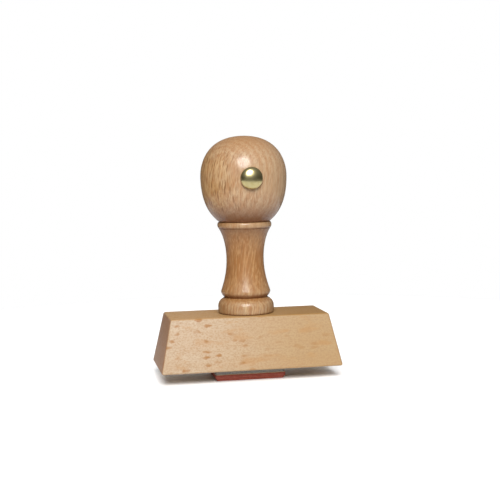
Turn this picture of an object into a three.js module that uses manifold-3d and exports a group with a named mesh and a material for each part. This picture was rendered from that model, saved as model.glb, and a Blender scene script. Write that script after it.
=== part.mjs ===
// A rubber stamp: a turned beech handle on a sloping beech block, with an engraved rubber die
// on a foam cushion underneath. Millimetres, +Z up.
// The origin is the centre of the print face, which the stamp stands on.
// +X runs along the block, and -Y is the front, which the brass nail marks for the thumb.
import * as THREE from 'three';
import { ConvexGeometry } from 'three/addons/geometries/ConvexGeometry.js';
import { mergeVertices } from 'three/addons/utils/BufferGeometryUtils.js';
import Module from 'manifold-3d';

const wasm = await Module();
wasm.setup();

// Die, cushion and the two adhesive films
const dieLength = 26;
const dieWidth = 18;
const dieBase = 1.3;
const reliefHeight = 1.0;
const filmThickness = 0.15;
const foamThickness = 2.0;

// Relief on the die
const frameMargin = 0.7;
const frameLine = 0.8;
const tickBoxSize = 6.4;
const tickBoxLine = 0.9;
const tickBoxX = -7.2;
const ruleStartX = -2;
const ruleEndX = 10.2;
const ruleLine = 1.1;
const rulePitch = 4;

// Block: each side leans in by blockLean over the height
const blockLength = 67.1;
const blockWidth = 31.4;
const blockHeight = 19.3;
const blockLean = 4.16;
const blockEdgeRadius = 0.7;

// Handle: its axis is a little off the block's centre, as it was fitted by hand
const handleX = 0.4;
const handleHeight = 65.7;
const footEdge = 0.35;
const turningSegments = 40;

// The handle's outline from the foot up, as cubic curves of [radius, height above the block]:
// a start, its pull, the end's pull and the end
const foot = [[10.45, 2.1], [10.45, 4.7], [9.2, 5.2], [8.0, 5.95]];
const collar = [[8.0, 5.95], [8.8, 6.85], [9.5, 7.6], [9.0, 8.8]];
const lowerNeck = [[9.0, 8.8], [7.17, 14.1], [6.94, 17.55], [6.94, 20.6]];
const upperNeck = [[6.94, 20.6], [6.94, 23.6], [7.55, 28.4], [9.5, 31.5]];
const bead = [[9.6, 31.7], [10.25, 32.8], [9.75, 34.0], [9.25, 34.05]];
const lowerBall = [[9.6, 34.2], [10.9, 35.5], [15.97, 39.0], [15.97, 50.8]];
const upperBall = [[15.97, 50.8], [15.97, 57.0], [12.5, handleHeight], [0, handleHeight]];

// Brass nail in the front of the ball
const nailZ = 50.3;
const nailSeatY = 15.9;
const nailRadius = 4.05;
const nailHeight = 2.6;
const nailWall = 0.5;
const pinRadius = 0.9;
const pinHeadRadius = 1.4;
const pinHeadThickness = 0.4;
const pinLength = 14;
const pinTip = 2.5;

// Screw that holds the handle down on the block
const screwCore = 1.7;
const screwCrest = 2.4;
const screwPitch = 2.2;
const screwTurns = 4;
const screwPlain = 1.4;
const screwPoint = 2.2;

const clearance = 0.3;

// Heights of the stack, from the print face up
const dieTop = reliefHeight + dieBase;
const foamBottom = dieTop + filmThickness;
const foamTop = foamBottom + foamThickness;
const blockBottom = foamTop + filmThickness;
const blockTop = blockBottom + blockHeight;

const beech = { color: '#c8996a', roughness: 0.35, metalness: 0 };
const paleBeech = { color: '#d8b184', roughness: 0.6, metalness: 0 };
const brass = { color: '#cdbb78', roughness: 0.2, metalness: 1 };
const steel = { color: '#a5a8ab', roughness: 0.35, metalness: 1 };
const film = { color: '#e6dcc0', roughness: 0.4, metalness: 0 };
const foam = { color: '#3c3f43', roughness: 0.9, metalness: 0 };
const rubber = { color: '#a5402f', roughness: 0.7, metalness: 0 };

const stamp = new THREE.Group();

function addPiece(name, geometry, finish) {
  const mesh = new THREE.Mesh(geometry, new THREE.MeshStandardMaterial(finish));
  mesh.name = name;
  stamp.add(mesh);
  return mesh;
}

// A three.js geometry as a solid that can be joined and cut
function toSolid(geometry) {
  const bare = geometry.clone();
  bare.deleteAttribute('normal');
  bare.deleteAttribute('uv');
  const merged = mergeVertices(bare, 1e-4);
  return new wasm.Manifold(new wasm.Mesh({
    numProp: 3,
    vertProperties: new Float32Array(merged.attributes.position.array),
    triVerts: new Uint32Array(merged.index.array),
  }));
}

function toGeometry(solid) {
  const mesh = solid.getMesh();
  const geometry = new THREE.BufferGeometry();
  geometry.setAttribute('position', new THREE.BufferAttribute(mesh.vertProperties, 3));
  geometry.setIndex(new THREE.BufferAttribute(mesh.triVerts, 1));
  geometry.computeVertexNormals();
  return geometry;
}

// A box from its lowest to its highest corner
function boxBetween(low, high) {
  const size = high.map((value, axis) => value - low[axis]);
  const box = new THREE.BoxGeometry(...size);
  return box.translate(...low.map((value, axis) => value + size[axis] / 2));
}

// A profile of [radius, height] points turned about Z
function turned(profile, segments) {
  const outline = profile.map(([radius, height]) => new THREE.Vector2(radius, height));
  return new THREE.LatheGeometry(outline, segments).rotateX(Math.PI / 2);
}

// Points along a cubic curve in the profile plane
function curvePoints(corners, steps) {
  const curve = new THREE.CubicBezierCurve(...corners.map(([r, z]) => new THREE.Vector2(r, z)));
  return curve.getPoints(steps).map((point) => [point.x, point.y]);
}

// The outside of the handle, from the foot up to the crown
function handleOutline() {
  const [footRadius] = foot[0];
  return [
    [footRadius - footEdge, 0],
    [footRadius, footEdge],
    ...curvePoints(foot, 5).slice(0, -1),
    ...curvePoints(collar, 4).slice(0, -1),
    ...curvePoints(lowerNeck, 6).slice(0, -1),
    ...curvePoints(upperNeck, 6),
    ...curvePoints(bead, 5),
    ...curvePoints(lowerBall, 9).slice(0, -1),
    ...curvePoints(upperBall, 9),
  ];
}

// How far the screw reaches into the handle, and equally into the block
const screwReach = screwPlain + screwTurns * screwPitch + screwPoint;
const boreRadius = screwCrest + clearance;
const boreDepth = screwReach + clearance;

function handleGeometry() {
  const blindBore = [[0, boreDepth], [boreRadius, boreDepth], [boreRadius, 0]];
  const body = turned([...blindBore, ...handleOutline()], turningSegments);
  const holeDepth = pinLength + clearance;
  const nailHole = new THREE.CylinderGeometry(pinRadius + clearance, pinRadius + clearance,
    holeDepth * 2, 16);
  nailHole.translate(0, -nailSeatY, nailZ);
  return toGeometry(toSolid(body).subtract(toSolid(nailHole)));
}

// The block is the hull of its eight rounded corners
function blockGeometry() {
  const lean = Math.atan(blockLean / blockHeight);
  const sideInset = blockEdgeRadius / Math.cos(lean);
  const points = [];
  for (const sideX of [-1, 1]) {
    for (const sideY of [-1, 1]) {
      for (const end of [-1, 1]) {
        const centreZ = end < 0 ? blockEdgeRadius : blockHeight - blockEdgeRadius;
        const inset = centreZ * Math.tan(lean) + sideInset;
        const centre = new THREE.Vector3(sideX * (blockLength / 2 - inset),
          sideY * (blockWidth / 2 - inset), centreZ);
        const faceX = new THREE.Vector3(sideX * Math.cos(lean), 0, Math.sin(lean));
        const faceY = new THREE.Vector3(0, sideY * Math.cos(lean), Math.sin(lean));
        const faceZ = new THREE.Vector3(0, 0, end);
        for (const faces of [[faceX], [faceY], [faceZ], [faceX, faceY], [faceX, faceZ],
          [faceY, faceZ], [faceX, faceY, faceZ]]) {
          const outward = new THREE.Vector3();
          faces.forEach((face) => outward.add(face));
          outward.setLength(blockEdgeRadius);
          points.push(outward.add(centre));
        }
      }
    }
  }
  const hull = new ConvexGeometry(points);
  const bore = new THREE.CylinderGeometry(boreRadius, boreRadius, boreDepth * 2, 24);
  bore.rotateX(Math.PI / 2).translate(handleX, 0, blockHeight);
  return toGeometry(toSolid(hull).subtract(toSolid(bore)));
}

// Double-ended wood screw: a plain middle, ring threads and a point at each end
function screwGeometry() {
  const upperHalf = [[screwCore, screwPlain]];
  for (let turn = 0; turn < screwTurns; turn += 1) {
    const start = screwPlain + turn * screwPitch;
    upperHalf.push([screwCrest, start + screwPitch / 2]);
    upperHalf.push([screwCore, start + screwPitch]);
  }
  upperHalf.push([0, screwReach]);
  const lowerHalf = upperHalf.map(([radius, height]) => [radius, -height]).reverse();
  return turned([...lowerHalf, ...upperHalf], 20);
}

// Points of a dome's profile, from the rim to the crown on the axis
function domePoints(radius, height, steps) {
  const quarter = new THREE.EllipseCurve(0, 0, radius, height, 0, Math.PI / 2);
  return quarter.getPoints(steps).map((point) => [point.x, point.y]).with(-1, [0, height]);
}

function nailCapGeometry() {
  const outside = domePoints(nailRadius, nailHeight, 8);
  const inside = domePoints(nailRadius - nailWall, nailHeight - nailWall, 6).reverse();
  return turned([...inside, ...outside], 28);
}

function nailPinGeometry() {
  const headTop = nailHeight - nailWall - clearance;
  const headBottom = headTop - pinHeadThickness;
  return turned([
    [0, -pinLength],
    [pinRadius, pinTip - pinLength],
    [pinRadius, headBottom],
    [pinHeadRadius, headBottom],
    [pinHeadRadius, headTop],
    [0, headTop],
  ], 16);
}

// A bar of relief in the die's plane, let into the base so that they join
function reliefBar(lowX, highX, lowY, highY) {
  const intoBase = dieBase / 4;
  return toSolid(boxBetween([lowX, lowY, 0], [highX, highY, reliefHeight + intoBase]));
}

// The four bars of a rectangular outline about (centreX, 0)
function reliefOutline(centreX, length, width, line) {
  const halfX = length / 2;
  const halfY = width / 2;
  return [
    reliefBar(centreX - halfX, centreX + halfX, -halfY, line - halfY),
    reliefBar(centreX - halfX, centreX + halfX, halfY - line, halfY),
    reliefBar(centreX - halfX, centreX - halfX + line, -halfY, halfY),
    reliefBar(centreX + halfX - line, centreX + halfX, -halfY, halfY),
  ];
}

// A generic form stamp: a frame, a tick box and three ruled lines
function dieGeometry() {
  const base = boxBetween([-dieLength / 2, -dieWidth / 2, reliefHeight],
    [dieLength / 2, dieWidth / 2, dieTop]);
  const rules = [-1, 0, 1].map((row) => reliefBar(ruleStartX, ruleEndX,
    row * rulePitch - ruleLine / 2, row * rulePitch + ruleLine / 2));
  const relief = [
    ...reliefOutline(0, dieLength - 2 * frameMargin, dieWidth - 2 * frameMargin, frameLine),
    ...reliefOutline(tickBoxX, tickBoxSize, tickBoxSize, tickBoxLine),
    ...rules,
  ];
  return toGeometry(relief.reduce((whole, bar) => whole.add(bar), toSolid(base)));
}

// A flat layer the size of the die
function layer(bottom, top) {
  return boxBetween([-dieLength / 2, -dieWidth / 2, bottom], [dieLength / 2, dieWidth / 2, top]);
}

addPiece('rubber_die', dieGeometry(), rubber);
addPiece('lower_adhesive_film', layer(dieTop, foamBottom), film);
addPiece('foam_cushion', layer(foamBottom, foamTop), foam);
addPiece('upper_adhesive_film', layer(foamTop, blockBottom), film);

addPiece('block', blockGeometry(), paleBeech).position.z = blockBottom;
addPiece('hanger_screw', screwGeometry(), steel).position.set(handleX, 0, blockTop);
addPiece('handle', handleGeometry(), beech).position.set(handleX, 0, blockTop);

for (const nailPiece of [
  addPiece('nail_cap', nailCapGeometry(), brass),
  addPiece('nail_pin', nailPinGeometry(), steel),
]) {
  nailPiece.position.set(handleX, -nailSeatY, blockTop + nailZ);
  nailPiece.rotation.x = Math.PI / 2;
}

export default stamp;
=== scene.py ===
"""Looks of the rubber stamp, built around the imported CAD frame. Sizes are in metres."""
import math

import bmesh
import bpy
from mathutils import Matrix, Vector, noise


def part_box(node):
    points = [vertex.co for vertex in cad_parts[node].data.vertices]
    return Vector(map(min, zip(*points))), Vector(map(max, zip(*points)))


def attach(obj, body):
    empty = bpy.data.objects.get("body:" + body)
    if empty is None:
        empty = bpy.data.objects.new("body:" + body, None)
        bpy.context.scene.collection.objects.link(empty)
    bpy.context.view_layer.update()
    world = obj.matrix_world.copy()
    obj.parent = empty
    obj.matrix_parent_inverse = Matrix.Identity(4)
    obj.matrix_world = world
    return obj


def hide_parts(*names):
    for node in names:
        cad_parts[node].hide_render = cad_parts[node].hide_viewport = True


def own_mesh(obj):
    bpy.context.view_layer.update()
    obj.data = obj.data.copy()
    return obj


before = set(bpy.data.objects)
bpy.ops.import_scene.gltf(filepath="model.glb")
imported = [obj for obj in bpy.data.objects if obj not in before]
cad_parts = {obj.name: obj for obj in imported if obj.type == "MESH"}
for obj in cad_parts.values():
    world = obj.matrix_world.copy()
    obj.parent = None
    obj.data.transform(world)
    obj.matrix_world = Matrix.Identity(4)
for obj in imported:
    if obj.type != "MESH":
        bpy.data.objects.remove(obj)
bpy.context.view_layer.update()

MM = 0.001

# The camera stands where the photograph was taken from, with the print face at height 0.
CAMERA_AZIMUTH = math.radians(-10.6)
CAMERA_ELEVATION = math.radians(4.72)
CAMERA_ROLL = math.radians(-1.13)
CAMERA_DISTANCE = 0.4185
CAMERA_AIM_SIDE = 0.0023
CAMERA_AIM_HEIGHT = 0.0472
CAMERA_NEAR = 0.01
LENS_MM = 80.9
SENSOR_MM = 36

# The lowest and the highest corner of each CAD node.
STACK = {name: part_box(name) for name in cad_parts}

# The handle and the block have the same blind bore for the screw.
BORE_RADIUS = 2.7 * MM
BORE_DEPTH = 12.7 * MM

# The nail is built along Z, and then turned to lie along Y.
TO_FRONT = Matrix.Rotation(math.radians(90), 4, "X")
TO_BACK = Matrix.Rotation(math.radians(-90), 4, "X")


def middle(node):
    """The centre of a CAD node's box."""
    low, high = STACK[node]
    return (low + high) / 2


# ---------------------------------------------------------------- mesh helpers

def add_object(name, bm):
    """Turns a bmesh into an object in the scene, and frees the bmesh."""
    mesh = bpy.data.meshes.new(name)
    bm.to_mesh(mesh)
    bm.free()
    thing = bpy.data.objects.new(name, mesh)
    bpy.context.scene.collection.objects.link(thing)
    return thing


def new_piece(name, bm, material, body, node):
    """Turns a closed bmesh into a shown piece that rides a body and stands for a CAD node."""
    bmesh.ops.recalc_face_normals(bm, faces=bm.faces)
    piece = add_object(name, bm)
    piece.data.materials.append(material)
    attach(piece, body)
    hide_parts(node)
    return piece


def smooth(piece, sharp_angle):
    """Shades a piece smooth, apart from edges that are sharper than the angle, in degrees."""
    for face in piece.data.polygons:
        face.use_smooth = True
    piece.data.set_sharp_from_angle(angle=math.radians(sharp_angle))


def apply_modifiers(piece):
    """Gives a piece the mesh that its modifiers make of it."""
    graph = bpy.context.evaluated_depsgraph_get()
    done = bpy.data.meshes.new_from_object(piece.evaluated_get(graph))
    piece.modifiers.clear()
    piece.data = done


def lathe(profile, segments):
    """A closed turned body about Z from (radius, height) points that start and end on the axis."""
    bm = bmesh.new()
    turn = [2 * math.pi * k / segments for k in range(segments)]
    rings = []
    for radius, height in profile:
        if radius == 0:
            rings.append([bm.verts.new((0, 0, height))])
            continue
        rings.append([bm.verts.new((radius * math.cos(a), radius * math.sin(a), height)) for a in turn])
    for low, high in zip(rings, rings[1:]):
        for k in range(segments):
            after = (k + 1) % segments
            corners = (low[k % len(low)], low[after % len(low)],
                       high[after % len(high)], high[k % len(high)])
            bm.faces.new(list(dict.fromkeys(corners)))
    return bm


def rod(radius, low, high):
    """A plain cylinder about Z."""
    return lathe([(0, low), (radius, low), (radius, high), (0, high)], segments=32)


def bezier(start, start_pull, end_pull, end, steps):
    """Points of a cubic curve, without its last point."""
    points = []
    for k in range(steps):
        t = k / steps
        weights = ((1 - t) ** 3, 3 * t * (1 - t) ** 2, 3 * t * t * (1 - t), t ** 3)
        corners = (start, start_pull, end_pull, end)
        points.append(tuple(sum(w * c[axis] for w, c in zip(weights, corners)) for axis in (0, 1)))
    return points


def quarter_turn(steps):
    """Even angles from zero up to a right angle, without the right angle itself."""
    return [math.pi / 2 * k / steps for k in range(steps)]


def join_rings(bm, rings):
    """Closes the side between rings that have the same number of points."""
    for ring, after in zip(rings, rings[1:]):
        for k in range(len(ring)):
            following = (k + 1) % len(ring)
            bm.faces.new((ring[k], ring[following], after[following], after[k]))


def cut(piece, bm):
    """Subtracts a closed bmesh from a piece."""
    bmesh.ops.recalc_face_normals(bm, faces=bm.faces)
    cutter = add_object("cutter", bm)
    modifier = piece.modifiers.new("cut", "BOOLEAN")
    modifier.object = cutter
    modifier.operation = "DIFFERENCE"
    modifier.solver = "EXACT"
    apply_modifiers(piece)
    bpy.data.objects.remove(cutter)


# ---------------------------------------------------------------- shader helpers

class Shader:
    """A material's node tree, with short calls for the nodes that the finishes use."""

    def __init__(self, name):
        self.material = bpy.data.materials.new(name)
        self.material.use_nodes = True
        self.tree = self.material.node_tree
        self.tree.nodes.clear()
        self.surface = self.tree.nodes.new("ShaderNodeBsdfPrincipled")
        output = self.tree.nodes.new("ShaderNodeOutputMaterial")
        self.tree.links.new(self.surface.outputs[0], output.inputs["Surface"])

    def put(self, value, socket):
        """Links a node's output to a socket, or sets the socket to a plain value."""
        if isinstance(value, bpy.types.NodeSocket):
            self.tree.links.new(value, socket)
        elif value is not None:
            socket.default_value = value

    def set(self, **values):
        """Sets the surface's own sockets, with an underscore for each space in a name."""
        for name, value in values.items():
            self.put(value, self.surface.inputs[name.replace("_", " ")])

    def millimetres(self, turn=(0, 0, 0), shift=(0, 0, 0)):
        """Object coordinates in millimetres, turned by degrees about X, Y and Z, and then shifted."""
        place = self.tree.nodes.new("ShaderNodeTexCoord")
        mapping = self.tree.nodes.new("ShaderNodeMapping")
        mapping.inputs["Scale"].default_value = (1 / MM,) * 3
        mapping.inputs["Rotation"].default_value = [math.radians(a) for a in turn]
        mapping.inputs["Location"].default_value = shift
        self.tree.links.new(place.outputs["Object"], mapping.inputs["Vector"])
        return mapping.outputs[0]

    def stretch(self, vector, scale):
        """Scales each axis by its own number. A small one draws patterns out along its axis."""
        node = self.tree.nodes.new("ShaderNodeVectorMath")
        node.operation = "MULTIPLY"
        self.put(vector, node.inputs[0])
        node.inputs[1].default_value = scale
        return node.outputs[0]

    def math(self, operation, first, second=None):
        node = self.tree.nodes.new("ShaderNodeMath")
        node.operation = operation
        for value, socket in zip((first, second), node.inputs):
            self.put(value, socket)
        return node.outputs[0]

    def plus(self, first, second):
        return self.math("ADD", first, second)

    def times(self, product, *factors):
        for factor in factors:
            product = self.math("MULTIPLY", product, factor)
        return product

    def parts(self, vector):
        """The X, Y and Z of a vector."""
        node = self.tree.nodes.new("ShaderNodeSeparateXYZ")
        self.put(vector, node.inputs[0])
        return node.outputs

    def noise(self, vector, scale, detail=2, roughness=0.5):
        """Soft noise. Its scale is one number, or three to draw it out along an axis."""
        if isinstance(scale, tuple):
            vector, scale = self.stretch(vector, scale), 1
        node = self.tree.nodes.new("ShaderNodeTexNoise")
        self.put(vector, node.inputs["Vector"])
        node.inputs["Scale"].default_value = scale
        node.inputs["Detail"].default_value = detail
        node.inputs["Roughness"].default_value = roughness
        return node.outputs["Fac"]

    def cells(self, vector, scale=1):
        """The distance to the nearest of many scattered points."""
        node = self.tree.nodes.new("ShaderNodeTexVoronoi")
        self.put(vector, node.inputs["Vector"])
        node.inputs["Scale"].default_value = scale
        return node.outputs["Distance"]

    def stir(self, vector, amount):
        """Shifts points a little, so that what is drawn with them is less regular."""
        cloud = self.tree.nodes.new("ShaderNodeTexNoise")
        self.put(vector, cloud.inputs["Vector"])
        cloud.inputs["Scale"].default_value = 2.0
        shifted = self.tree.nodes.new("ShaderNodeVectorMath")
        shifted.operation = "MULTIPLY_ADD"
        self.put(cloud.outputs["Color"], shifted.inputs[0])
        shifted.inputs[1].default_value = (amount,) * 3
        self.put(vector, shifted.inputs[2])
        return shifted.outputs[0]

    def facing(self, direction):
        """How squarely a surface faces a direction of the object, from -1 to 1."""
        place = self.tree.nodes.new("ShaderNodeTexCoord")
        node = self.tree.nodes.new("ShaderNodeVectorMath")
        node.operation = "DOT_PRODUCT"
        self.put(place.outputs["Normal"], node.inputs[0])
        node.inputs[1].default_value = direction
        return node.outputs["Value"]

    def from_axis(self, vector):
        """The distance from the Z axis."""
        node = self.tree.nodes.new("ShaderNodeVectorMath")
        node.operation = "LENGTH"
        self.put(self.stretch(vector, (1, 1, 0)), node.inputs[0])
        return node.outputs["Value"]

    def between(self, value, low, high, to_low=0.0, to_high=1.0):
        """A smooth step: to_low where the value is at low, and to_high where it is at high."""
        node = self.tree.nodes.new("ShaderNodeMapRange")
        node.interpolation_type = "SMOOTHSTEP"
        for item, socket in zip((value, low, high, to_low, to_high), node.inputs):
            self.put(item, socket)
        return node.outputs[0]

    def blend(self, share, first, second, mode="MIX"):
        node = self.tree.nodes.new("ShaderNodeMix")
        node.data_type = "RGBA"
        node.blend_type = mode
        self.put(share, node.inputs[0])
        self.put(first, node.inputs[6])
        self.put(second, node.inputs[7])
        return node.outputs[2]

    def paint(self, base, *coats):
        """Lays colours over a base, one after another. Each coat is a share and a colour."""
        for share, colour in coats:
            base = self.blend(share, base, colour)
        return base

    def bump(self, height, strength, depth):
        node = self.tree.nodes.new("ShaderNodeBump")
        self.put(height, node.inputs["Height"])
        node.inputs["Strength"].default_value = strength
        node.inputs["Distance"].default_value = depth
        self.put(node.outputs[0], self.surface.inputs["Normal"])


def rgb(red, green, blue):
    """A colour given as it looks on screen, from 0 to 255."""
    linear = []
    for value in (red, green, blue):
        share = value / 255
        linear.append(share / 12.92 if share <= 0.04045 else ((share + 0.055) / 1.055) ** 2.4)
    return (*linear, 1)


# ---------------------------------------------------------------- finishes
# Places are in millimetres, so a noise of scale 2 has about two spots in a millimetre. In both
# woods Z runs along the grain, and a small third scale draws the patterns out that way.

def handle_wood():
    """Varnished turned beech: the grain runs up the handle, and short dark rays show as dashes."""
    s = Shader("turned_beech")
    place = s.millimetres()
    x, _, height = s.parts(place)
    radius = s.from_axis(place)
    facing_up, facing_down = s.facing((0, 0, 1)), s.facing((0, 0, -1))

    # Growth rings, fibres and two kinds of streak. The grain leans a little, and its rays lie
    # towards the front left.
    grain = s.millimetres(turn=(0, -7, -45), shift=(3, 0, 0))
    wander = s.noise(grain, (0.06, 0.06, 0.02))
    rings = s.plus(s.parts(grain)[0], s.times(wander, 3))
    late = s.between(s.math("PINGPONG", rings, 1.1), 0.2, 1.0)
    fibre = s.noise(grain, (3.0, 3.0, 0.3), 4, 0.65)
    streak = s.noise(grain, (1.1, 1.1, 0.07))
    figure = s.noise(grain, (1.5, 1.5, 0.2), 2, 0.6)

    # Rays are strongest on the left of the ball, and weak where they would show as wide spots.
    long_rays = s.cells(s.stir(s.stretch(grain, (0.2, 1.2, 0.16)), 0.2))
    short_rays = s.cells(s.stir(s.stretch(grain, (0.3, 1.9, 0.26)), 0.2))
    rays = s.math("MAXIMUM", s.between(long_rays, 0.34, 0.18),
                  s.times(s.between(short_rays, 0.34, 0.16), 0.6))
    side = s.plus(x, s.times(s.noise(grain, 0.08), 16))
    on_side = s.between(side, 9, -3, 0.26, 1.0)
    on_ball = s.between(height, 30, 55, 0.45, 1.0)
    off_crown = s.between(facing_up, 0.3, 0.8, 1.0, 0.15)
    across_rays = s.math("ABSOLUTE", s.facing((-0.707, 0.707, 0)))
    off_broadside = s.between(across_rays, 0.6, 0.97, 1.0, 0.3)
    ray_mark = s.times(rays, on_side, on_ball, off_crown, off_broadside)

    # Browner heartwood comes out where the handle is thin, and on the crown.
    heart = s.plus(radius, s.times(wander, 4))
    heart_share = s.times(s.between(heart, 13, 8, 0.0, 0.9), s.between(height, 84, 76))
    crown_share = s.between(facing_up, 0.4, 1.0, 0.0, 0.6)

    # The streaks are livelier on the left, and below the ball.
    lively = s.math("MAXIMUM", on_side, s.between(height, 56, 50))
    colour = s.paint(
        s.blend(s.between(side, -8, 3), rgb(172, 136, 88), rgb(174, 148, 117)),
        (heart_share, rgb(148, 100, 52)),
        (crown_share, rgb(154, 110, 62)),
        (s.times(late, 0.28), rgb(138, 94, 56)),
        (s.between(streak, 0.4, 0.65, 0.0, 0.3), rgb(150, 96, 52)),
        (s.between(fibre, 0.42, 0.68, 0.0, 0.4), rgb(122, 82, 48)),
        (s.times(s.between(figure, 0.5, 0.64, 0.0, 0.45), lively), rgb(142, 92, 48)),
        (s.times(s.between(figure, 0.5, 0.36, 0.0, 0.32), lively), rgb(192, 154, 110)),
        (s.times(ray_mark, 0.8), rgb(108, 68, 34)))

    # Everything below the ball is a shade darker, and what faces down is painted deep brown as shade.
    colour = s.blend(s.between(height, 62, 54), colour, rgb(236, 234, 227), "MULTIPLY")
    colour = s.paint(colour, (s.between(facing_down, 0.1, 0.9, 0.0, 0.9), rgb(94, 46, 14)))

    # The varnish is thicker on the wide parts, and thin on what faces down.
    varnish = s.times(s.between(radius, 8.5, 11, 0.15, 0.42), s.between(facing_down, 0.4, 0.9, 1.0, 0.4))
    s.set(Base_Color=colour, Roughness=s.between(fibre, 0.3, 0.7, 0.42, 0.55), Specular_IOR_Level=0.22,
          Coat_Weight=varnish, Coat_Roughness=0.18)
    s.bump(s.plus(fibre, s.times(ray_mark, -0.6)), 0.2, 0.08 * MM)
    return s.material


def block_wood():
    """Sanded pale beech: the grain runs along the block, and sparse flecks lie on its front."""
    s = Shader("sanded_beech")
    along = s.parts(s.millimetres())[0]
    grain = s.millimetres(turn=(0, -90, 0), shift=(4, 0, 9))
    wander = s.noise(grain, (0.06, 0.06, 0.02))
    rings = s.plus(s.parts(grain)[1], s.times(wander, 8))
    late = s.between(s.math("PINGPONG", rings, 1.3), 0.3, 1.2)
    fibre = s.noise(grain, (2.4, 2.4, 0.2), 4, 0.6)
    mottle = s.noise(grain, (1.9, 1.9, 1.3), 3, 0.75)
    stain = s.between(s.noise(grain, (0.32, 0.1, 0.12)), 0.52, 0.72)

    # Flecks come in patches, and there are fewer of them on the right.
    fleck = s.between(s.cells(s.stir(s.stretch(grain, (0.4, 0.2, 0.17)), 0.5)), 0.36, 0.14)
    patches = s.between(s.noise(grain, 0.16, 1), 0.35, 0.55)
    fleck_mark = s.times(fleck, patches, s.between(along, -8, 6, 1.0, 0.35))

    # The top is yellower and the ends are browner than the long sides. The top's colour darkens from left
    # to right as painted light falloff.
    on_top = s.between(s.facing((0, 0, 1)), 0.5, 0.95, 0.0, 0.65)
    top_colour_and_painted_falloff = s.blend(s.between(along, -30, 30), rgb(167, 125, 71), rgb(137, 96, 34))
    at_end = s.between(s.math("ABSOLUTE", s.facing((1, 0, 0))), 0.5, 0.95, 0.0, 0.75)
    # The base is paler and greyer at the left and darker ochre at the right: painted light falloff and
    # sheen.
    colour = s.paint(
        s.blend(s.between(along, -28, 22), rgb(165, 146, 122), rgb(152, 126, 89)),
        (s.between(mottle, 0.42, 0.62, 0.0, 0.6), rgb(140, 110, 78)),
        (s.times(late, 0.15), rgb(146, 110, 70)),
        (s.between(fibre, 0.4, 0.8, 0.0, 0.3), rgb(138, 102, 66)),
        (s.times(stain, 0.45), rgb(150, 108, 60)),
        (s.times(fleck_mark, 0.9), rgb(134, 90, 42)),
        (on_top, top_colour_and_painted_falloff),
        (at_end, rgb(131, 85, 49)))
    s.set(Base_Color=colour, Roughness=s.between(mottle, 0.3, 0.7, 0.5, 0.62), Specular_IOR_Level=0.35)
    s.bump(s.plus(fibre, s.times(mottle, 0.6)), 0.2, 0.08 * MM)
    return s.material


def brass():
    s = Shader("bright_brass")
    place = s.millimetres()
    tarnish = s.noise(place, 0.9, 3)
    scratch = s.noise(place, (6, 6, 1.2))
    colour = s.blend(s.between(tarnish, 0.4, 0.75), rgb(188, 176, 130), rgb(181, 167, 116))
    s.set(Base_Color=colour, Metallic=1.0, Roughness=s.between(scratch, 0.3, 0.7, 0.28, 0.29))
    s.bump(tarnish, 0.02, 0.04 * MM)
    return s.material


def zinc_steel():
    s = Shader("zinc_steel")
    place = s.millimetres()
    spangle = s.cells(place, 1.4)
    colour = s.blend(s.between(spangle, 0.2, 0.7), rgb(198, 200, 204), rgb(168, 172, 178))
    s.set(Base_Color=colour, Metallic=1.0, Roughness=s.between(spangle, 0.2, 0.8, 0.28, 0.4))
    s.bump(s.noise(place, 4, 3), 0.08, 0.05 * MM)
    return s.material


def adhesive():
    s = Shader("adhesive_film")
    place = s.millimetres()
    cloud = s.noise(place, 0.5, 3)
    colour = s.blend(s.between(cloud, 0.35, 0.65), rgb(226, 212, 176), rgb(206, 188, 146))
    s.set(Base_Color=colour, Roughness=s.between(cloud, 0.3, 0.7, 0.35, 0.5), Specular_IOR_Level=0.5)
    s.bump(s.noise(place, 3), 0.1, 0.03 * MM)
    return s.material


def cushion_foam():
    s = Shader("closed_cell_foam")
    place = s.millimetres()
    pores = s.cells(place, 3.2)
    shade = s.noise(place, 0.7)
    colour = s.paint(
        s.blend(s.between(pores, 0.05, 0.5), rgb(84, 84, 84), rgb(140, 138, 134)),
        (s.between(shade, 0.4, 0.7, 0.0, 0.3), rgb(104, 100, 96)))
    s.set(Base_Color=colour, Roughness=0.9, Specular_IOR_Level=0.2)
    s.bump(pores, 0.6, 0.12 * MM)
    return s.material


def die_rubber():
    """Red-brown rubber, dusty from engraving, with fine lines where the laser ran along it."""
    s = Shader("engraved_rubber")
    place = s.millimetres()
    dust = s.noise(place, 2.2, 4, 0.6)
    scan = s.noise(place, (0.3, 9, 1), 1)
    colour = s.paint(
        s.blend(s.between(dust, 0.35, 0.7), rgb(150, 74, 58), rgb(128, 58, 46)),
        (s.between(scan, 0.45, 0.7, 0.0, 0.3), rgb(168, 96, 80)))
    s.set(Base_Color=colour, Roughness=s.between(dust, 0.3, 0.7, 0.62, 0.78), Specular_IOR_Level=0.3)
    s.bump(s.plus(dust, scan), 0.2, 0.04 * MM)
    return s.material


# ---------------------------------------------------------------- handle

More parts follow.
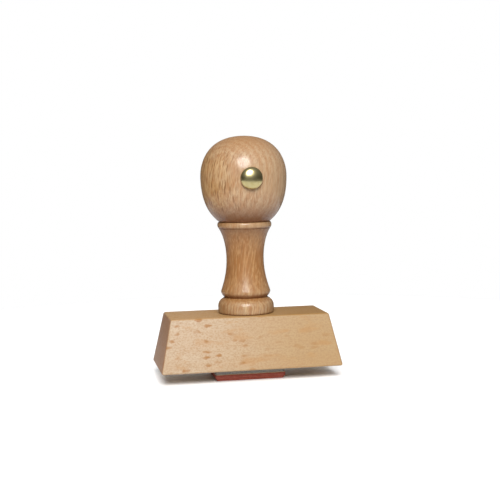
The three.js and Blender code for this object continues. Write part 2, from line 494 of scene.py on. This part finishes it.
def handle_profile(seat, height):
    """The handle's turned outline: out of its bore, round its foot and up to the crown.

    Points are in millimetres from the axis and above the seat, and come back in metres."""
    def at(radius, rise):
        return (radius * MM, seat + rise * MM)

    crown = height / MM
    foot_groove, collar, waist = at(7.9, 5.95), at(9.0, 8.8), at(6.94, 20.6)
    widest = at(15.97, 50.8)
    blind_end = seat + BORE_DEPTH
    bore = [(0, blind_end), (BORE_RADIUS, blind_end), (BORE_RADIUS, seat + 0.4 * MM), at(3.0, 0)]
    foot_edge = [at(9.95, 0), at(10.18, 0.14), at(10.35, 0.45), at(10.43, 1.0)]
    foot = bezier(at(10.45, 2.1), at(10.45, 4.7), at(9.2, 5.2), foot_groove, 16)
    lip = bezier(foot_groove, at(8.8, 6.85), at(9.5, 7.6), collar, 12)
    lower_neck = bezier(collar, at(7.17, 14.1), at(6.94, 17.55), waist, 22)
    upper_neck = bezier(waist, at(6.94, 23.6), at(7.55, 28.4), at(9.5, 31.48), 22)
    crease = [at(9.5, 31.48), at(9.4, 31.6)]
    bead = bezier(at(9.62, 31.7), at(10.35, 32.5), at(10.05, 33.8), at(9.6, 33.95), 14)
    groove = [at(9.5, 34.0), at(9.05, 34.04)]
    lower_ball = bezier(at(9.6, 34.2), at(10.9, 35.5), at(15.97, 39.0), widest, 34)
    upper_ball = bezier(widest, at(15.97, 57.0), at(12.5, crown), at(0, crown), 40)
    return [*bore, *foot_edge, *foot, *lip, *lower_neck, *upper_neck, *crease, *bead, *groove,
            *lower_ball, *upper_ball, (0, seat + height)]


def make_handle(material):
    low, high = STACK["handle"]
    turning = lathe(handle_profile(low.z, high.z - low.z), segments=144)
    turning.transform(Matrix.Translation((middle("handle").x, 0, 0)))
    piece = new_piece("turned_handle", turning, material, "mount", "handle")
    pin, pin_front = middle("nail_pin"), STACK["nail_pin"][0].y
    hole_radius, hole_length, hole_depth = 1.2 * MM, 15 * MM, 14.6 * MM
    hole = rod(hole_radius, 0, hole_length)
    hole.transform(Matrix.Translation((pin.x, pin_front + hole_depth, pin.z)) @ TO_FRONT)
    cut(piece, hole)
    smooth(piece, 35)


# ---------------------------------------------------------------- block

def make_block(material):
    """A sloping block with softly rounded edges and a blind bore for the screw.

    It starts a little larger than its box, because the rounding takes its sharp foot edge off."""
    low, high = STACK["block"]
    lean = 4.16 * MM
    rounding = 0.8 * MM
    lost_to_rounding = 0.17 * MM
    past_top = 2 * MM
    half_x, half_y = high.x + lost_to_rounding, high.y + lost_to_rounding
    bm = bmesh.new()
    rings = []
    for height, inset in ((low.z, 0), (high.z, lean)):
        x, y = half_x - inset, half_y - inset
        corners = ((-x, -y), (x, -y), (x, y), (-x, y))
        rings.append([bm.verts.new((*corner, height)) for corner in corners])
    bm.faces.new(reversed(rings[0]))
    bm.faces.new(rings[1])
    join_rings(bm, rings)
    bmesh.ops.bevel(bm, geom=bm.edges[:], offset=rounding, segments=5, profile=0.5, affect="EDGES",
                    clamp_overlap=True)
    piece = new_piece("beech_block", bm, material, "mount", "block")
    bore = rod(BORE_RADIUS, high.z - BORE_DEPTH, high.z + past_top)
    bore.transform(Matrix.Translation((middle("hanger_screw").x, 0, 0)))
    cut(piece, bore)
    smooth(piece, 30)


# ---------------------------------------------------------------- nail and screw

def make_nail_cap(material):
    """A pressed brass dome with a rolled rim, hollow underneath.

    Its outline stands on the base at height 0, and the rim reaches past that to the ball."""
    low, high = STACK["nail_cap"]
    radius = (high.x - low.x) / 2
    height = high.y - low.y
    wall = 0.45 * MM
    roll = 0.4 * MM
    widest = 0.5 * MM
    rim_drop = 0.33 * MM
    lip_rise = 0.1 * MM
    inner_radius = radius - roll - wall
    lip = (inner_radius + 0.4 * wall, lip_rise - rim_drop)
    hollow = [(inner_radius * math.cos(a), (height - wall) * math.sin(a)) for a in quarter_turn(12)]
    rolled = [(radius - roll * (1 - math.sin(a)), widest - (widest + rim_drop) * math.cos(a))
              for a in quarter_turn(8)]
    dome = [(radius * math.cos(a), widest + (height - widest) * math.sin(a)) for a in quarter_turn(28)]
    bm = lathe([(0, height - wall), *reversed(hollow), lip, *rolled, *dome, (0, height)], segments=72)
    cap = middle("nail_cap")
    bm.transform(Matrix.Translation((cap.x, high.y, cap.z)) @ TO_FRONT)
    smooth(new_piece("nail_dome", bm, material, "mount", "nail_cap"), 50)


def make_screw(material):
    """The double-ended screw with a true helical thread that fades out at both points."""
    low, high = STACK["hanger_screw"]
    core, crest, pitch = 1.7 * MM, 2.38 * MM, 2.2 * MM
    point_length, plain_half, run_in = 2.4 * MM, 1.2 * MM, 0.6 * MM
    tooth_half = 0.28
    tip_share = 0.15
    rows, around = 160, 28
    centre = middle("hanger_screw")
    reach = (high.z - low.z) / 2
    bm = bmesh.new()
    rings = []
    for row in range(1, rows):
        height = -reach + 2 * reach * row / rows
        taper = min(1.0, (reach - abs(height)) / point_length)
        threaded = min(1.0, max(0.0, (abs(height) - plain_half) / run_in)) * taper
        ring = []
        for k in range(around):
            turn = k / around
            phase = (height / pitch - turn) % 1.0
            tooth = max(0.0, 1 - abs(phase - 0.5) / tooth_half)
            radius = core * (tip_share + (1 - tip_share) * taper) + (crest - core) * tooth * threaded
            angle = 2 * math.pi * turn
            x, y = radius * math.cos(angle), radius * math.sin(angle)
            ring.append(bm.verts.new((x, y, centre.z + height)))
        rings.append(ring)
    join_rings(bm, rings)
    for ring, tip in ((rings[0], low.z), (rings[-1], high.z)):
        point = bm.verts.new((0, 0, tip))
        for k in range(around):
            bm.faces.new((ring[k], ring[(k + 1) % around], point))
    bm.transform(Matrix.Translation((centre.x, 0, 0)))
    smooth(new_piece("threaded_screw", bm, material, "mount", "hanger_screw"), 40)


def make_pin(material):
    """The nail's shank, with a disc that is fixed in the dome and a round point."""
    low, high = STACK["nail_pin"]
    length = (high.y - low.y) / MM
    point_length = 2.5
    disc = [(0, 0), (1.3, 0), (1.4, 0.1), (1.4, 0.3), (1.2, 0.4)]
    shank = [(0.95, 0.5), (0.88, 0.8), (0.88, length - point_length), (0, length)]
    bm = lathe([(radius * MM, rise * MM) for radius, rise in disc + shank], segments=24)
    pin = middle("nail_pin")
    bm.transform(Matrix.Translation((pin.x, low.y, pin.z)) @ TO_BACK)
    smooth(new_piece("nail_shank", bm, material, "mount", "nail_pin"), 40)


# ---------------------------------------------------------------- cushion, films and die

def soft_slab(low, high, corner, edge, wobble, step):
    """A cut sheet of material: rounded corners in plan, softened edges and slightly uneven sides."""
    corner_steps = 4
    waves_per_metre = 900
    half_x, half_y = (high.x - low.x) / 2 - wobble, (high.y - low.y) / 2 - wobble
    outline = []
    for sx, sy, start in ((1, 1, 0), (-1, 1, 90), (-1, -1, 180), (1, -1, 270)):
        centre = Vector((sx * (half_x - corner), sy * (half_y - corner)))
        for k in range(corner_steps + 1):
            angle = math.radians(start + 90 * k / corner_steps)
            outline.append(centre + corner * Vector((math.cos(angle), math.sin(angle))))
    dense = []
    for here, after in zip(outline, outline[1:] + outline[:1]):
        count = max(1, round((after - here).length / step))
        dense += [here.lerp(after, k / count) for k in range(count)]

    # Each level is a height and how far its ring is set in, so that both edges are softened.
    near_edge = edge * 0.3
    levels = [(low.z, edge), (low.z + near_edge, near_edge), (low.z + edge, 0),
              (high.z - edge, 0), (high.z - near_edge, near_edge), (high.z, edge)]
    bm = bmesh.new()
    rings = []
    for height, inset in levels:
        ring = []
        for point in dense:
            away = point.normalized()
            unevenness = noise.noise(Vector((point.x, point.y, height)) * waves_per_metre)
            shift = wobble * unevenness - inset
            ring.append(bm.verts.new((point.x + away.x * shift, point.y + away.y * shift, height)))
        rings.append(ring)
    join_rings(bm, rings)
    bm.faces.new(list(reversed(rings[0])))
    bm.faces.new(rings[-1])
    return bm


def make_layers(film_material, foam_material):
    """The foam cushion and its two films. The foam stays on the block."""
    films = (("upper_adhesive_film", "upper_film", "mount"),
             ("lower_adhesive_film", "lower_film", "die"))
    for node, name, body in films:
        low, high = STACK[node]
        bm = soft_slab(low, high, corner=0.4 * MM, edge=0.03 * MM, wobble=0.08 * MM, step=0.5 * MM)
        smooth(new_piece(name, bm, film_material, body, node), 40)
    low, high = STACK["foam_cushion"]
    bm = soft_slab(low, high, corner=0.6 * MM, edge=0.12 * MM, wobble=0.12 * MM, step=0.3 * MM)
    foam = new_piece("foam_pad", bm, foam_material, "mount", "foam_cushion")
    smooth(foam, 40)
    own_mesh(foam)


def relief_bars():
    """The die's raised bars as (low x, high x, low y, high y): a frame, a tick box and three rules."""
    def outline(centre, half_x, half_y, line):
        left, right = centre - half_x, centre + half_x
        return [(left, right, -half_y, line - half_y), (left, right, half_y - line, half_y),
                (left, left + line, -half_y, half_y), (right - line, right, -half_y, half_y)]

    rule_left, rule_right, rule_pitch, rule_half = -2, 10.2, 4, 0.55
    bars = outline(centre=0, half_x=12.3, half_y=8.3, line=0.8)
    bars += outline(centre=-7.2, half_x=3.2, half_y=3.2, line=0.9)
    for row in (-1, 0, 1):
        middle_y = row * rule_pitch
        bars.append((rule_left, rule_right, middle_y - rule_half, middle_y + rule_half))
    return [tuple(value * MM for value in bar) for bar in bars]


def make_die(material):
    """The engraved plate: its relief stands on sloping shoulders, as a laser leaves it."""
    low, high = STACK["rubber_die"]
    bars = relief_bars()
    shoulder, relief, edge = 0.45 * MM, 1.0 * MM, 0.25 * MM
    steep_part = 0.3
    steepness = 0.7
    least_gap = 0.02 * MM
    touching = 1e-7

    def grid_lines(first, second, low_end, high_end):
        """Where the mesh needs lines along one axis: at each bar, its shoulders and the plate's edges."""
        values = {low_end, high_end, low_end + edge, high_end - edge}
        for bar in bars:
            for value, outward in ((bar[first], -1), (bar[second], 1)):
                values |= {value, value + outward * shoulder * steep_part, value + outward * shoulder}
        ordered = sorted(v for v in values if low_end <= v <= high_end)
        kept = [ordered[0]]
        for value in ordered[1:]:
            if value - kept[-1] > least_gap:
                kept.append(value)
        return kept

    def rise(x, y):
        """How high the relief is at a place: 1 on a bar, falling to 0 at the end of its shoulder."""
        best = 0.0
        for x0, x1, y0, y1 in bars:
            away = math.hypot(max(x0 - x, 0, x - x1), max(y0 - y, 0, y - y1))
            share = max(0.0, 1 - away / shoulder)
            best = max(best, share ** steepness if away > touching else 1.0)
        return best

    xs = grid_lines(0, 1, low.x, high.x)
    ys = grid_lines(2, 3, low.y, high.y)
    last_x, last_y = len(xs) - 1, len(ys) - 1
    bm = bmesh.new()
    face_down = [[bm.verts.new((x, y, low.z + relief * (1 - rise(x, y)))) for y in ys] for x in xs]
    face_up = [[bm.verts.new((x, y, high.z)) for y in ys] for x in xs]
    for i in range(last_x):
        for j in range(last_y):
            for grid in (face_down, face_up):
                bm.faces.new((grid[i][j], grid[i + 1][j], grid[i + 1][j + 1], grid[i][j + 1]))
    for i in range(last_x):
        for j in (0, last_y):
            bm.faces.new((face_down[i][j], face_down[i + 1][j], face_up[i + 1][j], face_up[i][j]))
    for j in range(last_y):
        for i in (0, last_x):
            bm.faces.new((face_down[i][j], face_down[i][j + 1], face_up[i][j + 1], face_up[i][j]))
    smooth(new_piece("engraved_die", bm, material, "die", "rubber_die"), 30)


# ---------------------------------------------------------------- stage

def toward(azimuth, elevation):
    """The direction from the stamp to a viewer or a lamp. Azimuth 0 is in front of the stamp."""
    level = math.cos(elevation)
    return Vector((math.sin(azimuth) * level, -math.cos(azimuth) * level, math.sin(elevation)))


def make_floor():
    """A plain pale table under the stamp."""
    bm = bmesh.new()
    bmesh.ops.create_circle(bm, cap_ends=True, radius=0.24, segments=64)
    floor = add_object("floor", bm)
    s = Shader("pale_floor")
    tone = s.noise(s.millimetres(), 0.01)
    colour = s.blend(tone, rgb(247, 247, 247), rgb(250, 250, 250))
    s.set(Base_Color=colour, Roughness=0.8, Specular_IOR_Level=0.0)
    floor.data.materials.append(s.material)


def make_lamp(name, azimuth, elevation, width, strength, glossy=True):
    """A soft round lamp far away. Its direction and its width are in degrees."""
    light = bpy.data.lights.new(name, "SUN")
    light.angle = math.radians(width)
    light.energy = strength
    lamp = bpy.data.objects.new(name, light)
    bpy.context.scene.collection.objects.link(lamp)
    back = toward(math.radians(azimuth), math.radians(elevation))
    lamp.rotation_euler = back.to_track_quat("Z", "Y").to_euler()
    lamp.visible_glossy = glossy


def make_world():
    """White surroundings to the camera, and a dim studio with a paler ceiling for everything else."""
    wall_height, ceiling_height = 0.05, 0.9
    wall_strength, ceiling_strength = 0.1, 0.4
    world = bpy.data.worlds.new("studio")
    bpy.context.scene.world = world
    world.use_nodes = True
    tree = world.node_tree
    tree.nodes.clear()
    output = tree.nodes.new("ShaderNodeOutputWorld")
    mix = tree.nodes.new("ShaderNodeMixShader")
    path = tree.nodes.new("ShaderNodeLightPath")
    seen = tree.nodes.new("ShaderNodeBackground")
    seen.inputs["Color"].default_value = (1, 1, 1, 1)
    seen.inputs["Strength"].default_value = 1.0
    place = tree.nodes.new("ShaderNodeTexCoord")
    parts = tree.nodes.new("ShaderNodeSeparateXYZ")
    strength = tree.nodes.new("ShaderNodeMapRange")
    limits = (wall_height, ceiling_height, wall_strength, ceiling_strength)
    for value, socket in zip(limits, list(strength.inputs)[1:5]):
        socket.default_value = value
    room = tree.nodes.new("ShaderNodeBackground")
    tree.links.new(place.outputs["Generated"], parts.inputs[0])
    tree.links.new(parts.outputs[2], strength.inputs[0])
    tree.links.new(strength.outputs[0], room.inputs["Strength"])
    tree.links.new(path.outputs["Is Camera Ray"], mix.inputs[0])
    tree.links.new(room.outputs[0], mix.inputs[1])
    tree.links.new(seen.outputs[0], mix.inputs[2])
    tree.links.new(mix.outputs[0], output.inputs["Surface"])


def make_camera():
    back = toward(CAMERA_AZIMUTH, CAMERA_ELEVATION)
    right = Vector((math.cos(CAMERA_AZIMUTH), math.sin(CAMERA_AZIMUTH), 0))
    up = back.cross(right)
    turned_right = right * math.cos(CAMERA_ROLL) + up * math.sin(CAMERA_ROLL)
    turned_up = up * math.cos(CAMERA_ROLL) - right * math.sin(CAMERA_ROLL)
    aim = right * CAMERA_AIM_SIDE + Vector((0, 0, CAMERA_AIM_HEIGHT))
    camera = bpy.data.objects.new("camera", bpy.data.cameras.new("camera"))
    bpy.context.scene.collection.objects.link(camera)
    camera.data.lens = LENS_MM
    camera.data.sensor_width = SENSOR_MM
    camera.data.clip_start = CAMERA_NEAR
    turn = Matrix((turned_right, turned_up, back)).transposed().to_4x4()
    camera.matrix_world = Matrix.Translation(aim + back * CAMERA_DISTANCE) @ turn
    bpy.context.scene.camera = camera


def make_stage():
    make_floor()
    make_world()
    make_lamp("key", azimuth=-9, elevation=37, width=32, strength=4.9)
    make_lamp("back_fill", azimuth=165, elevation=10, width=60, strength=2.0, glossy=False)
    bpy.context.scene.view_settings.view_transform = "Standard"


make_camera()
steel = zinc_steel()
make_handle(handle_wood())
make_block(block_wood())
make_nail_cap(brass())
make_screw(steel)
make_pin(steel)
make_layers(adhesive(), cushion_foam())
make_die(die_rubber())
make_stage()
